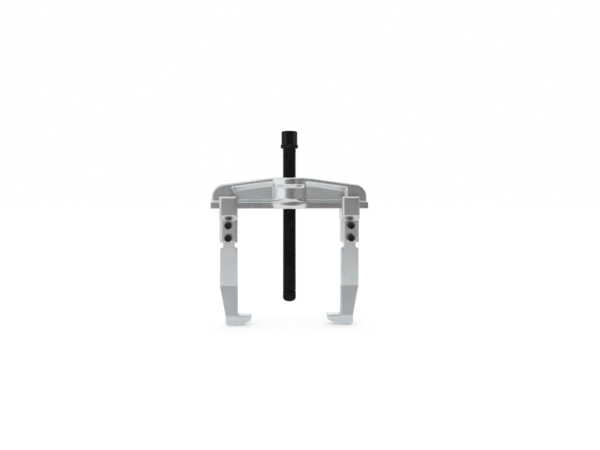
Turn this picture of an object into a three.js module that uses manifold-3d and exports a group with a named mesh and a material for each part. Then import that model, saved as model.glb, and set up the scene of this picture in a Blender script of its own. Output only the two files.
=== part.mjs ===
// Two-arm gear puller. A forged crossbeam carries a pressure spindle in its threaded boss, and two
// arms slide along the beam. Each arm is a hook whose tang is clamped between two cheeks, and the
// cheeks grip the beam's bottom flange. The spindle ends in a thrust tip that stays still while
// the spindle turns on a ball.
//
// Millimetres. +Z runs up the spindle, X runs along the crossbeam and the screw heads face -Y.
// The origin is on the spindle's axis, level with the soles of the hooks.

import * as THREE from 'three';
import { mergeVertices } from 'three/addons/utils/BufferGeometryUtils.js';
import { ConvexGeometry } from 'three/addons/geometries/ConvexGeometry.js';
import Module from 'manifold-3d';

const wasm = await Module();
wasm.setup();

const GAP = 0.3; // between pieces that touch
const FAR = 400; // longer than anything that a cutter has to pass through

const beam = {
	halfLength: 107,
	bottom: 158,
	flangeHalf: 12,
	flangeHeight: 9.4,
	slopeFoot: 8.6, // half width where the flange starts to rise to the web
	webHalf: 3.5,
	ribHalf: 7,
	humpEnd: 105.8,
	humpRadius: 18,
	humpTop: 191.8,
};

const pocket = {
	innerEnd: 20,
	outerEnd: 79,
	draft: 3,
	bottom: 168,
	bottomDraft: 3.6,
	topDraft: 6.6,
	ribHeight: 5.3, // from the beam's top outline down to the pocket
};

const boss = {
	radius: 18.5,
	waistRadius: 15.5,
	top: 200.5,
	topChamfer: 2,
	bottomChamfer: 3.4,
	ringHeight: 9.6,
	slope: 4.3,
	cornerRadius: 9, // between the boss and the flange
};

const spindle = {
	radius: 9,
	bottom: 45.6,
	collarBottom: 240.3,
	collarTop: 246,
	collarRadius: 12,
	collarChamfer: 1.2,
	hexFlats: 19,
	hexTop: 263.8,
	hexChamfer: 1.6,
	endChamfer: 1,
	boreRadius: 4.6,
	boreDepth: 22,
};

const tip = {
	apex: 31.3,
	domeHeight: 6,
	top: 45.3,
	stemRadius: 4.2,
	stemTop: 59,
	ballRadius: 4,
};

const ring = {
	bottom: 52,
	height: 1,
	innerRadius: 3.6,
	outerRadius: 5,
	opening: 2.4,
};

const arm = {
	centre: 82.5,
	half: 12, // half width along the beam
};

const cheek = {
	top: 175,
	outer: 18, // half depth of the claw
	stepTop: 149.3,
	stepBottom: 143.4,
	lowerOuter: 13.5, // half depth of the clamping block
	bottom: 112.4,
	clearance: 0.4, // round the flange
	lipEdge: 7.7,
	lipChamfer: 1.6,
	topChamfer: 2.4,
	bottomChamfer: 2,
	clawCorner: 2.5,
	blockCorner: 3.5,
};

const hook = {
	tangHalf: 8,
	thickHalf: 6,
	tangTop: 142,
	shoulder: 104.9,
	taperTop: 53.6,
	footThickHalf: 8,
	grip: 13.9, // upper face of the toe
	inner: 70.5,
	outerAtGrip: 86.7,
	toeTip: 51.8,
	tipThick: 7,
	heelRadius: 6,
	soleInner: 73,
	cornerRadius: 2,
};

const screw = {
	heights: { upper: 135.7, lower: 119.1 },
	radius: 3,
	headRadius: 5,
	headHeight: 6,
	socketFlats: 5,
	socketDepth: 3,
	length: 33.2,
	headChamfer: 0.6,
};

const washer = { innerRadius: 3.3, outerRadius: 5.6, height: 1.5, opening: 1.2, seatDepth: 0.8, seatRadius: 6.6 };
const nut = { flats: 10, height: 5, chamfer: 0.9 };

const finish = {
	forging: { color: 0xa9abaa, roughness: 0.35, metalness: 0.9 },
	cheeks: { color: 0x9c9a9a, roughness: 0.4, metalness: 0.9 },
	hooks: { color: 0xbcc3c6, roughness: 0.4, metalness: 0.9 },
	black: { color: 0x17171a, roughness: 0.5, metalness: 0.6 },
	screws: { color: 0x1d1c1a, roughness: 0.45, metalness: 0.6 },
	ball: { color: 0xc8cacc, roughness: 0.15, metalness: 1 },
};

// --- solids -------------------------------------------------------------------------------

/** Turns a closed geometry into a solid that can be joined and cut. */
function solid(geometry) {
	geometry.deleteAttribute('normal');
	geometry.deleteAttribute('uv');
	const merged = mergeVertices(geometry, 1e-4);
	const mesh = new wasm.Mesh({
		numProp: 3,
		vertProperties: merged.attributes.position.array,
		triVerts: new Uint32Array(merged.index.array),
	});
	return new wasm.Manifold(mesh);
}

/** Gives a solid back as a geometry. */
function geometryOf(body) {
	const mesh = body.getMesh();
	const geometry = new THREE.BufferGeometry();
	geometry.setAttribute('position', new THREE.BufferAttribute(mesh.vertProperties, 3));
	geometry.setIndex(new THREE.BufferAttribute(mesh.triVerts, 1));
	geometry.computeVertexNormals();
	return geometry;
}

/** Extrudes a shape from z = low to z = high. */
function prismZ(shape, low, high) {
	const geometry = new THREE.ExtrudeGeometry(shape, { depth: high - low, bevelEnabled: false, curveSegments: 10 });
	geometry.translate(0, 0, low);
	return solid(geometry);
}

/** Extrudes an outline of (x, z) points from y = low to y = high. */
function prismY(shape, low, high) {
	const geometry = new THREE.ExtrudeGeometry(shape, { depth: high - low, bevelEnabled: false, curveSegments: 10 });
	geometry.rotateX(Math.PI / 2);
	geometry.translate(0, high, 0);
	return solid(geometry);
}

/** Extrudes an outline of (y, z) points from x = low to x = high. */
function prismX(shape, low, high) {
	const geometry = new THREE.ExtrudeGeometry(shape, { depth: high - low, bevelEnabled: false, curveSegments: 10 });
	geometry.rotateX(Math.PI / 2);
	geometry.rotateZ(Math.PI / 2);
	geometry.translate(low, 0, 0);
	return solid(geometry);
}

/** Turns a profile of [radius, z] pairs about the Z axis. */
function turned(profile, segments) {
	const points = profile.map(([radius, z]) => new THREE.Vector2(radius, z));
	const geometry = new THREE.LatheGeometry(points, segments);
	geometry.rotateX(Math.PI / 2);
	return solid(geometry);
}

/** A cylinder along Y from y = low to y = high, on the axis through (x, z). */
function barY(radius, low, high, x, z) {
	const geometry = new THREE.CylinderGeometry(radius, radius, high - low, 24);
	geometry.translate(x, (low + high) / 2, z);
	return solid(geometry);
}

function box(low, high) {
	const size = high.map((value, axis) => value - low[axis]);
	const geometry = new THREE.BoxGeometry(...size);
	geometry.translate(...high.map((value, axis) => (value + low[axis]) / 2));
	return solid(geometry);
}

function polygon(points) {
	return new THREE.Shape(points.map(([a, b]) => new THREE.Vector2(a, b)));
}

/** The half of an outline with positive first values, mirrored to make the whole. */
function mirrored(points) {
	const other = points.map(([a, b]) => [-a, b]).reverse();
	return polygon([...points, ...other]);
}

/** A regular hexagon by its width across flats, with two corners on the first axis. */
function hexagon(flats) {
	const radius = flats / Math.sqrt(3);
	const points = [];
	for (let corner = 0; corner < 6; corner += 1) {
		const angle = corner * Math.PI / 3;
		points.push([radius * Math.cos(angle), radius * Math.sin(angle)]);
	}
	return polygon(points);
}

/** Points on an arc, from one angle to the other, in degrees. */
function arc(cx, cz, radius, from, to, steps) {
	const points = [];
	for (let step = 0; step <= steps; step += 1) {
		const angle = THREE.MathUtils.degToRad(from + (to - from) * step / steps);
		points.push([cx + radius * Math.cos(angle), cz + radius * Math.sin(angle)]);
	}
	return points;
}

// --- crossbeam ----------------------------------------------------------------------------

/** The beam's top edge from the boss to the hump, as [x, z]. */
const topEdge = [[0, boss.top], [26, boss.top], [55, 196.4], [84, 191.9]];

/** Height of the beam's top edge at x. */
function topAt(x) {
	const next = topEdge.findIndex(([edgeX]) => edgeX >= x);
	const [x0, z0] = topEdge[next - 1];
	const [x1, z1] = topEdge[next];
	return z0 + (z1 - z0) * (x - x0) / (x1 - x0);
}

/** The rib, web and hump as one plate, seen from the front. */
function plateOutline() {
	const centre = beam.humpEnd - beam.humpRadius;
	const corner = arc(centre, beam.humpTop - beam.humpRadius, beam.humpRadius, 90, 0, 8);
	const foot = beam.bottom + 1;
	return mirrored([...topEdge.slice(1), ...corner, [beam.humpEnd, foot]]);
}

/** The bottom flange across the beam, with the slope that rises to the plate. */
function flangeOutline() {
	const top = beam.bottom + beam.flangeHeight;
	return mirrored([
		[beam.flangeHalf, beam.bottom],
		[beam.flangeHalf, top],
		[beam.slopeFoot, top],
		[beam.ribHalf - 0.5, top + 1.2],
	]);
}

/** A cutter for one pocket beside the web. side is 1 or -1 along X, face is 1 or -1 along Y. */
function pocketCutter(side, face) {
	const outer = [
		[pocket.innerEnd, pocket.bottom],
		[pocket.outerEnd, pocket.bottom],
		[pocket.outerEnd, topAt(pocket.outerEnd) - pocket.ribHeight],
		[pocket.innerEnd, topAt(pocket.innerEnd) - pocket.ribHeight],
	];
	const inner = [
		[pocket.innerEnd + pocket.draft, pocket.bottom + pocket.bottomDraft],
		[pocket.outerEnd - pocket.draft, pocket.bottom + pocket.bottomDraft],
		[pocket.outerEnd - pocket.draft, outer[2][1] - pocket.topDraft],
		[pocket.innerEnd + pocket.draft, outer[3][1] - pocket.topDraft],
	];
	const points = [];
	for (const [x, z] of outer) {
		points.push(new THREE.Vector3(side * x, face * beam.ribHalf, z));
		points.push(new THREE.Vector3(side * x, face * (beam.ribHalf + 5), z));
	}
	for (const [x, z] of inner) {
		points.push(new THREE.Vector3(side * x, face * beam.webHalf, z));
	}
	return solid(new ConvexGeometry(points));
}

/** The corner between the boss and one side of the flange, seen from above. */
function bossCorner(side, face) {
	const { radius, cornerRadius } = boss;
	const centreY = beam.flangeHalf + cornerRadius;
	const centreX = Math.sqrt((radius + cornerRadius) ** 2 - centreY ** 2);
	const touch = THREE.MathUtils.radToDeg(Math.atan2(-centreY, -centreX));
	const curve = arc(centreX, centreY, cornerRadius, touch, -90, 6);
	const points = [[0, 0], ...curve, [centreX, 0]];
	const shape = polygon(points.map(([x, y]) => [side * x, face * y]));
	return prismZ(shape, beam.bottom, beam.bottom + beam.flangeHeight);
}

/** The boss's outside, turned about the spindle's axis, filled in to the axis. */
function bossBody() {
	const { radius, waistRadius, topChamfer, bottomChamfer, ringHeight, slope, top } = boss;
	const waistBottom = beam.bottom + beam.flangeHeight + slope;
	const waistTop = top - ringHeight - slope;
	return turned([
		[0, beam.bottom],
		[radius - bottomChamfer, beam.bottom],
		[radius, beam.bottom + bottomChamfer],
		[radius, beam.bottom + beam.flangeHeight],
		[waistRadius, waistBottom],
		[waistRadius, waistTop],
		[radius, top - ringHeight],
		[radius, top - topChamfer],
		[radius - topChamfer, top],
		[0, top],
	], 64);
}

function crossbeam() {
	let body = prismY(plateOutline(), -beam.ribHalf, beam.ribHalf);
	for (const side of [-1, 1]) {
		for (const face of [-1, 1]) {
			body = body.subtract(pocketCutter(side, face));
		}
	}
	body = body.add(prismX(flangeOutline(), -beam.halfLength, beam.halfLength));
	for (const side of [-1, 1]) {
		for (const face of [-1, 1]) {
			body = body.add(bossCorner(side, face));
		}
	}
	body = body.add(bossBody());
	const bore = turned([
		[0, beam.bottom - 1],
		[spindle.radius + GAP, beam.bottom - 1],
		[spindle.radius + GAP, boss.top + 1],
		[0, boss.top + 1],
	], 48);
	return body.subtract(bore);
}

// --- spindle and swivel tip ---------------------------------------------------------------

function spindleBody() {
	const { radius, bottom, collarBottom, collarTop, collarRadius, collarChamfer } = spindle;
	const shank = turned([
		[0, bottom],
		[radius - spindle.endChamfer, bottom],
		[radius, bottom + spindle.endChamfer],
		[radius, collarBottom],
		[collarRadius - collarChamfer, collarBottom],
		[collarRadius, collarBottom + collarChamfer],
		[collarRadius, collarTop - collarChamfer],
		[collarRadius - collarChamfer, collarTop],
		[0, collarTop],
	], 48);
	const corner = spindle.hexFlats / Math.sqrt(3);
	const crown = turned([
		[0, collarTop - 1],
		[corner, collarTop - 1],
		[corner, spindle.hexTop - spindle.hexChamfer / 2],
		[corner - spindle.hexChamfer, spindle.hexTop],
		[0, spindle.hexTop],
	], 48);
	const hex = prismZ(hexagon(spindle.hexFlats), collarTop - 1, spindle.hexTop).intersect(crown);
	const ringSlot = turned([
		[0, ring.bottom - GAP],
		[ring.outerRadius + GAP, ring.bottom - GAP],
		[ring.outerRadius + GAP, ring.bottom + ring.height + GAP],
		[0, ring.bottom + ring.height + GAP],
	], 32);
	const bore = turned([
		[0, bottom - 1],
		[spindle.boreRadius, bottom - 1],
		[spindle.boreRadius, bottom + spindle.boreDepth],
		[0, bottom + spindle.boreDepth],
	], 32);
	return shank.add(hex).subtract(bore).subtract(ringSlot);
}

/** The thrust tip: a blunt rounded cone on a stem that turns in the spindle's bore. */
function thrustTip() {
	const { apex, domeHeight, top, stemRadius, stemTop } = tip;
	const grooveRadius = ring.innerRadius - GAP;
	return turned([
		[0, apex],
		[spindle.radius * 0.48, apex + domeHeight * 0.27],
		[spindle.radius * 0.79, apex + domeHeight * 0.5],
		[spindle.radius * 0.93, apex + domeHeight * 0.73],
		[spindle.radius, apex + domeHeight],
		[spindle.radius, top],
		[stemRadius, top],
		[stemRadius, ring.bottom - GAP],
		[grooveRadius, ring.bottom - GAP],
		[grooveRadius, ring.bottom + ring.height + GAP],
		[stemRadius, ring.bottom + ring.height + GAP],
		[stemRadius, stemTop],
		[0, stemTop],
	], 40);
}

function thrustBall() {
	const geometry = new THREE.SphereGeometry(tip.ballRadius, 24, 14);
	geometry.rotateX(Math.PI / 2);
	geometry.translate(0, 0, tip.stemTop + GAP + tip.ballRadius);
	return solid(geometry);
}

/** A flat ring with a gap on its +X side, seen along its axis. */
function splitRing(innerRadius, outerRadius, opening) {
	const start = THREE.MathUtils.radToDeg(Math.asin(opening / 2 / outerRadius));
	const outside = arc(0, 0, outerRadius, start, 360 - start, 24);
	const inside = arc(0, 0, innerRadius, 360 - start, start, 24);
	return polygon([...outside, ...inside]);
}

function tipSnapRing() {
	const shape = splitRing(ring.innerRadius, ring.outerRadius, ring.opening);
	return prismZ(shape, ring.bottom, ring.bottom + ring.height);
}

// --- arms, each modelled about x = 0 ------------------------------------------------------

/** A rectangle with its two far corners cut off, seen from above; y runs outwards. */
function cornered(half, near, far, corner) {
	return mirrored([[half, near], [half, far - corner], [half - corner, far]]);
}

/** The rear cheek: a claw over the flange on top of a clamping block. */
function cheekBody() {
	const { outer, lowerOuter, stepTop, stepBottom, clearance, lipEdge, lipChamfer } = cheek;
	const seat = beam.bottom - clearance;
	const lip = beam.bottom + beam.flangeHeight + clearance;
	const claw = polygon([
		[GAP / 2, stepBottom],
		[lowerOuter, stepBottom],
		[outer, stepTop],
		[outer, cheek.top - cheek.topChamfer],
		[outer - cheek.topChamfer, cheek.top],
		[lipEdge, cheek.top],
		[lipEdge, lip + lipChamfer],
		[lipEdge + lipChamfer, lip],
		[beam.flangeHalf + clearance, lip],
		[beam.flangeHalf + clearance, seat],
		[GAP / 2, seat],
	]);
	const block = polygon([
		[GAP / 2, cheek.bottom],
		[lowerOuter - cheek.bottomChamfer, cheek.bottom],
		[lowerOuter, cheek.bottom + cheek.bottomChamfer],
		[lowerOuter, stepBottom + 2],
		[GAP / 2, stepBottom + 2],
	]);
	const clawPlan = cornered(arm.half, 0, outer, cheek.clawCorner);
	const blockPlan = cornered(arm.half, 0, lowerOuter, cheek.blockCorner);
	const upper = prismX(claw, -arm.half, arm.half).intersect(prismZ(clawPlan, 0, FAR));
	const lower = prismX(block, -arm.half, arm.half).intersect(prismZ(blockPlan, 0, FAR));
	const channelHalf = hook.tangHalf + GAP;
	const channel = box(
		[-channelHalf, -1, cheek.bottom - 1],
		[channelHalf, hook.thickHalf + GAP, hook.tangTop + GAP],
	);
	return upper.add(lower).subtract(channel);
}

/** One cheek with its screw holes; the rear one has a flat seat for each washer. */
function cheekAt(rear) {
	let body = cheekBody();
	for (const height of Object.values(screw.heights)) {
		body = body.subtract(barY(screw.radius + GAP, -1, cheek.outer + 1, 0, height));
		if (rear) {
			const seat = cheek.lowerOuter - washer.seatDepth;
			body = body.subtract(barY(washer.seatRadius, seat, cheek.outer + 5, 0, height));
		}
	}
	return rear ? body : body.mirror([0, 1, 0]);
}

/** The right hook, seen from the front, with the toe pointing to -X. */
function hookOutline() {
	const inner = hook.inner - arm.centre;
	const outer = hook.outerAtGrip - arm.centre;
	const toe = hook.toeTip - arm.centre;
	const sole = hook.soleInner - arm.centre;
	const radius = hook.heelRadius;
	const heel = arc(outer - radius, radius, radius, 0, -90, 5);
	const root = arc(inner - hook.cornerRadius, hook.grip + hook.cornerRadius, hook.cornerRadius, 0, -90, 3);
	const tipBottom = hook.grip - hook.tipThick;
	return polygon([
		[-hook.tangHalf, hook.tangTop],
		[-hook.tangHalf, hook.shoulder],
		[inner, hook.shoulder],
		...root,
		[toe + 1, hook.grip],
		[toe, hook.grip - 1],
		[toe, tipBottom + 1.4],
		[toe + 1.4, tipBottom],
		[toe + (sole - toe) * 0.42, tipBottom * 0.42],
		[toe + (sole - toe) * 0.75, tipBottom * 0.11],
		[sole, 0],
		...heel.reverse(),
		[outer, hook.grip],
		[arm.half, hook.taperTop],
		[arm.half, hook.shoulder],
		[hook.tangHalf, hook.shoulder],
		[hook.tangHalf, hook.tangTop],
	]);
}

/** The hook's thickness, seen from the side: flat bar that swells towards the foot. */
function hookSide() {
	return mirrored([
		[hook.footThickHalf, 0],
		[hook.footThickHalf, hook.grip],
		[hook.thickHalf, hook.taperTop],
		[hook.thickHalf, hook.tangTop],
	]);
}

function hookBody() {
	const front = prismY(hookOutline(), -hook.footThickHalf - 1, hook.footThickHalf + 1);
	let body = front.intersect(prismX(hookSide(), -FAR, FAR));
	for (const height of Object.values(screw.heights)) {
		body = body.subtract(barY(screw.radius + GAP, -cheek.outer, cheek.outer, 0, height));
	}
	return body;
}

/** A socket head screw along Y, head at the front, on the axis y. */
function screwBody() {
	const seat = -cheek.lowerOuter - GAP;
	const face = seat - screw.headHeight;
	const head = turned([
		[0, 0],
		[screw.headRadius, 0],
		[screw.headRadius, screw.headHeight - screw.headChamfer],
		[screw.headRadius - screw.headChamfer, screw.headHeight],
		[0, screw.headHeight],
	], 32).rotate([90, 0, 0]).translate([0, seat, 0]);
	const shank = barY(screw.radius, seat - 1, seat + screw.length, 0, 0);
	const socket = prismY(hexagon(screw.socketFlats), face - 1, face + screw.socketDepth);
	return head.add(shank).subtract(socket);
}

function washerBody() {
	const low = cheek.lowerOuter - washer.seatDepth + GAP;
	const shape = splitRing(washer.innerRadius, washer.outerRadius, washer.opening);
	return prismY(shape, low, low + washer.height);
}

function nutBody() {
	const low = cheek.lowerOuter - washer.seatDepth + washer.height + 2 * GAP;
	const high = low + nut.height;
	const corner = nut.flats / Math.sqrt(3);
	const crown = turned([
		[0, low],
		[corner - nut.chamfer, low],
		[corner, low + nut.chamfer / 2],
		[corner, high - nut.chamfer / 2],
		[corner - nut.chamfer, high],
		[0, high],
	], 32).rotate([-90, 0, 0]);
	const hole = barY(screw.radius + GAP, low - 1, high + 1, 0, 0);
	return prismY(hexagon(nut.flats), low, high).intersect(crown).subtract(hole);
}

// --- assembly -----------------------------------------------------------------------------

function piece(name, body, look) {
	const mesh = new THREE.Mesh(geometryOf(body), new THREE.MeshStandardMaterial(look));
	mesh.name = name;
	return mesh;
}

/** One arm about its own centre line. side is -1 on the left, where the hook's toe turns round. */
function armGroup(name, side) {
	const group = new THREE.Group();
	group.position.x = side * arm.centre;
	const leg = side > 0 ? hookBody() : hookBody().mirror([1, 0, 0]);
	group.add(piece(`${name}_front_cheek`, cheekAt(false), finish.cheeks));
	group.add(piece(`${name}_rear_cheek`, cheekAt(true), finish.cheeks));
	group.add(piece(`${name}_hook`, leg, finish.hooks));
	for (const [level, height] of Object.entries(screw.heights)) {
		const fastener = new THREE.Group();
		fastener.position.z = height;
		fastener.add(piece(`${name}_${level}_screw`, screwBody(), finish.screws));
		fastener.add(piece(`${name}_${level}_washer`, washerBody(), finish.screws));
		fastener.add(piece(`${name}_${level}_nut`, nutBody(), finish.screws));
		group.add(fastener);
	}
	return group;
}

const puller = new THREE.Group();
puller.add(piece('crossbeam', crossbeam(), finish.forging));
puller.add(piece('spindle', spindleBody(), finish.black));
puller.add(piece('thrust_tip', thrustTip(), finish.black));
puller.add(piece('thrust_ball', thrustBall(), finish.ball));
puller.add(piece('tip_snap_ring', tipSnapRing(), finish.black));
puller.add(armGroup('left', -1));
puller.add(armGroup('right', 1));

export default puller;
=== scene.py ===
import math

import bmesh
import bpy
import numpy as np
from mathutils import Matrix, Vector


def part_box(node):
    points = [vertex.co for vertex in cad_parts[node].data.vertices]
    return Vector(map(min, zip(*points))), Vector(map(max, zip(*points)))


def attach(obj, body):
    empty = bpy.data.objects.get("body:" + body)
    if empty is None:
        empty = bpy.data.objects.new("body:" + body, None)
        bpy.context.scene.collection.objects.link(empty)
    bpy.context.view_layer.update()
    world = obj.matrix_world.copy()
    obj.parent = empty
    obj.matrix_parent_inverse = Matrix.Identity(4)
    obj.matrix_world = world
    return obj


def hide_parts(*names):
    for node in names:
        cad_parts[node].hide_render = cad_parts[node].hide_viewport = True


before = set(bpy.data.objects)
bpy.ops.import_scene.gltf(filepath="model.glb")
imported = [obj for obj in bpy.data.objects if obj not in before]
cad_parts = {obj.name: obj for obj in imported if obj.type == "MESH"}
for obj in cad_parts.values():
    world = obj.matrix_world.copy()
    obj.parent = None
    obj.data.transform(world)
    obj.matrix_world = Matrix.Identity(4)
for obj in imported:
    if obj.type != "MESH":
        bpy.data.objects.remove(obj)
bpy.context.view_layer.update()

# Shapes are worked out in millimetres, in the model's own frame: X along the crossbeam, the screw
# heads towards -Y, +Z up the spindle. MM turns them into metres when a mesh is made.
MM = 0.001
WELD_DISTANCE = 0.000002  # metres: points of a piece that are closer than this become one


def box_mm(node):
    """Lowest and highest corner of a CAD node, in millimetres."""
    low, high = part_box(node)
    return np.array(low) / MM, np.array(high) / MM


# --- surfaces ---------------------------------------------------------------------------------


def make_piece(name, points, quads, body, replaced, material, edge=None):
    """Puts points (mm) and quads into a mesh whose object sits at the origin and rides on a body."""
    mesh = bpy.data.meshes.new(name)
    mesh.vertices.add(len(points))
    mesh.vertices.foreach_set("co", (points * MM).astype(np.float32).ravel())
    mesh.loops.add(quads.size)
    mesh.loops.foreach_set("vertex_index", quads.astype(np.int32).ravel())
    mesh.polygons.add(len(quads))
    mesh.polygons.foreach_set("loop_start", np.arange(0, quads.size, 4, dtype=np.int32))
    mesh.update(calc_edges=True)
    if edge is None:
        edge = np.zeros(len(points))
    attribute = mesh.attributes.new("edge", "FLOAT", "POINT")
    attribute.data.foreach_set("value", edge.astype(np.float32))
    work = bmesh.new()
    work.from_mesh(mesh)
    bmesh.ops.remove_doubles(work, verts=work.verts, dist=WELD_DISTANCE)
    work.to_mesh(mesh)
    work.free()
    mesh.shade_smooth()
    mesh.materials.append(material)
    piece = bpy.data.objects.new(name, mesh)
    bpy.context.scene.collection.objects.link(piece)
    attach(piece, body)
    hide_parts(replaced)
    return piece


def grid_quads(rows, columns, ring=False):
    """Quads of a grid whose columns close on themselves, and whose rows do too if it is a ring."""
    count = rows if ring else rows - 1
    row, column = np.meshgrid(np.arange(count), np.arange(columns), indexing="ij")
    below = (row + 1) % rows
    beside = (column + 1) % columns
    corners = [
        row * columns + column,
        row * columns + beside,
        below * columns + beside,
        below * columns + column,
    ]
    return np.stack([c.ravel() for c in corners], axis=1)


def outward(points, quads):
    """The quads, turned so that the volume they enclose is positive."""
    a, b, c, d = (points[quads[:, i]] for i in range(4))
    volume = np.einsum("ij,ij->", a, np.cross(b, c)) + np.einsum("ij,ij->", a, np.cross(c, d))
    return quads if volume > 0 else quads[:, ::-1]


def turned_surface(radii, heights, angles, ring=False):
    """Points at (radius, angle, height): one row for each height and one column for each angle."""
    radii, heights, angles = np.broadcast_arrays(radii, heights, angles)
    points = np.stack([radii * np.cos(angles), radii * np.sin(angles), heights], axis=-1)
    flat = points.reshape(-1, 3)
    return flat, outward(flat, grid_quads(*radii.shape, ring=ring))


def field_surface(field, low, high, pitch):
    """The closed surface where field(x, y, z) is zero, with negative values inside.

    The field is sampled on a cubic grid. Each cell that the surface passes through gets one point,
    the mean of where it crosses the cell's edges, and each grid edge that it crosses gets one quad
    through the four cells round that edge. The points are then moved along the field's slope until
    the field is zero there. edge is how far a point stands out from its neighbours, in pitches.
    """
    axes = [np.arange(a - 2 * pitch, b + 2.5 * pitch, pitch) for a, b in zip(low, high)]
    shape = tuple(len(a) for a in axes)
    cells = tuple(n - 1 for n in shape)
    value = np.broadcast_to(field(*np.meshgrid(*axes, indexing="ij", sparse=True)), shape)
    size = int(np.prod(cells))
    total, count, quads = np.zeros((3, size)), np.zeros(size), []
    for axis in range(3):
        before = np.moveaxis(value, axis, 0)[:-1]
        after = np.moveaxis(value, axis, 0)[1:]
        crossed = np.moveaxis((before < 0) != (after < 0), 0, axis)
        start = np.moveaxis(before, 0, axis)[crossed]
        share = start / (start - np.moveaxis(after, 0, axis)[crossed])
        index = np.argwhere(crossed)
        point = index.astype(float)
        point[:, axis] += share
        second, third = (axis + 1) % 3, (axis + 2) % 3
        corners = []
        for step_second, step_third in ((0, 0), (1, 0), (1, 1), (0, 1)):
            cell = index.copy()
            cell[:, second] -= step_second
            cell[:, third] -= step_third
            flat = np.ravel_multi_index(tuple(cell.T), cells)
            count += np.bincount(flat, minlength=size)
            for i in range(3):
                total[i] += np.bincount(flat, weights=point[:, i], minlength=size)
            corners.append(flat)
        faces = np.stack(corners, axis=1)
        quads.append(np.where((start < 0)[:, None], faces, faces[:, ::-1]))
    used = np.flatnonzero(count)
    number = np.zeros(size, int)
    number[used] = np.arange(len(used))
    quads = number[np.concatenate(quads)]
    points = (total[:, used] / count[used]).T * pitch + np.array([a[0] for a in axes])
    rounds, step, farthest, least_steep = 4, 0.1 * pitch, 0.4 * pitch, 0.2
    for _ in range(rounds):
        here = field(*points.T)
        slope = np.stack([(field(*(points + step * e).T) - here) / step for e in np.eye(3)], axis=1)
        steep = np.maximum(np.einsum("ij,ij->i", slope, slope), least_steep)
        points = points - slope * np.clip(here / steep, -farthest, farthest)[:, None]
    return points, quads, edge_measure(points, quads) / pitch


def summed(index, values, count):
    """The sum of the rows of values that share an index, for each index below count."""
    return np.stack([np.bincount(index, weights=v, minlength=count) for v in values.T], axis=1)


def edge_measure(points, quads):
    """How far each point stands out along its normal from the mean of its neighbours."""
    count = len(points)
    a, b, c, d = (points[quads[:, i]] for i in range(4))
    face = np.cross(c - a, d - b)
    normal = sum(summed(quads[:, i], face, count) for i in range(4))
    normal /= np.linalg.norm(normal, axis=1)[:, None] + 1e-12
    ends = np.concatenate([quads[:, [i, (i + 1) % 4]] for i in range(4)])
    near = summed(ends[:, 0], points[ends[:, 1]], count)
    near /= np.bincount(ends[:, 0], minlength=count)[:, None]
    return np.einsum("ij,ij->i", points - near, normal)


def joined(a, b, radius):
    """Union of two fields with a round fillet between them."""
    inner = np.hypot(np.maximum(radius - a, 0), np.maximum(radius - b, 0))
    return np.maximum(radius, np.minimum(a, b)) - inner


def trimmed(a, b, radius):
    """Intersection of two fields with a round edge between them."""
    outer = np.hypot(np.maximum(radius + a, 0), np.maximum(radius + b, 0))
    return np.minimum(-radius, np.maximum(a, b)) + outer


def soft_least(a, b, width):
    """The lesser of two values, with the corner between them rounded over a width."""
    share = np.clip(0.5 + 0.5 * (b - a) / width, 0, 1)
    return b + (a - b) * share - width * share * (1 - share)


def ease(t):
    """0 below 0, 1 above 1, with a smooth start and end."""
    t = np.clip(t, 0, 1)
    return t * t * (3 - 2 * t)


def soft_ramp(t):
    """0 below 0, 1 above 1 and almost straight between, with short bends at both ends."""
    return 0.7 * np.clip(t, 0, 1) + 0.3 * ease(t)


def outline_distance(u, v, corners):
    """Signed distance in a plane from (u, v) to a closed outline, negative inside it."""
    u, v = np.broadcast_arrays(u, v)
    nearest = np.full(u.shape, np.inf)
    inside = np.zeros(u.shape, bool)
    for (au, av), (bu, bv) in zip(corners, np.roll(corners, -1, axis=0)):
        eu, ev = bu - au, bv - av
        share = np.clip(((u - au) * eu + (v - av) * ev) / (eu * eu + ev * ev), 0, 1)
        nearest = np.minimum(nearest, np.hypot(u - au - share * eu, v - av - share * ev))
        spans = (av > v) != (bv > v)
        crossing = au + (v - av) * eu / np.where(ev == 0, 1, ev)
        inside ^= spans & (u < crossing)
    return np.where(inside, -nearest, nearest)


def arc_points(centre, radius, start, end, count):
    """Points on an arc from one angle to the other, in degrees."""
    angle = np.radians(np.linspace(start, end, count))
    return np.stack([centre[0] + radius * np.cos(angle), centre[1] + radius * np.sin(angle)], axis=1)


def hexagon_radius(angles, flats, corner_trim=0.15):
    """Distance from the axis to a hexagon's side, with two corners on the first axis."""
    side = flats / 2 / np.cos(np.mod(angles, math.pi / 3) - math.pi / 6)
    return np.minimum(side, flats / math.sqrt(3) - corner_trim)


def hexagon_angles(steps=(0, 2, 4.5, 9, 16, 24, 30, 36, 44, 51, 55.5, 58)):
    """Angles round a hexagon, closer together near its corners."""
    return np.radians(np.add.outer(60 * np.arange(6), steps).ravel())


def profile_rows(profile, angles):
    """A turned profile of (radius, height) pairs as rows of radii and heights."""
    profile = np.array(profile, float)
    ones = np.ones(len(angles))
    return profile[:, :1] * ones, profile[:, 1:] * ones


# --- finishes ---------------------------------------------------------------------------------

# Near-white colour mixed onto convex edges: partly rubbed wear, partly a painted edge highlight.
EDGE_WEAR_AND_HIGHLIGHT_ZINC = (0.92, 0.93, 0.94, 1.0)
# Dark colour mixed into hollows and creases: painted shade.
PAINTED_HOLLOW_SHADE = (0.2, 0.19, 0.18, 1.0)
SCRATCH_GREY = (0.3, 0.3, 0.31, 1.0)
BROWN_BLACK = (0.016, 0.013, 0.011, 1.0)
SCRATCH_STRETCH = (1500.0, 1500.0, 40.0)  # fine across the scratches, coarse along them
RELIEF_HEIGHT = 0.00002  # metres, from the lowest to the highest point of a finish's grain


def link(tree, source, target):
    """Joins an output socket to an input socket."""
    tree.links.new(source, target)


def group_node(tree, group, **values):
    """A node of a shader group, with its inputs set by name."""
    node = tree.nodes.new("ShaderNodeGroup")
    node.node_tree = group
    for name, value in values.items():
        node.inputs[name.replace("_", " ")].default_value = value
    return node


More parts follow.
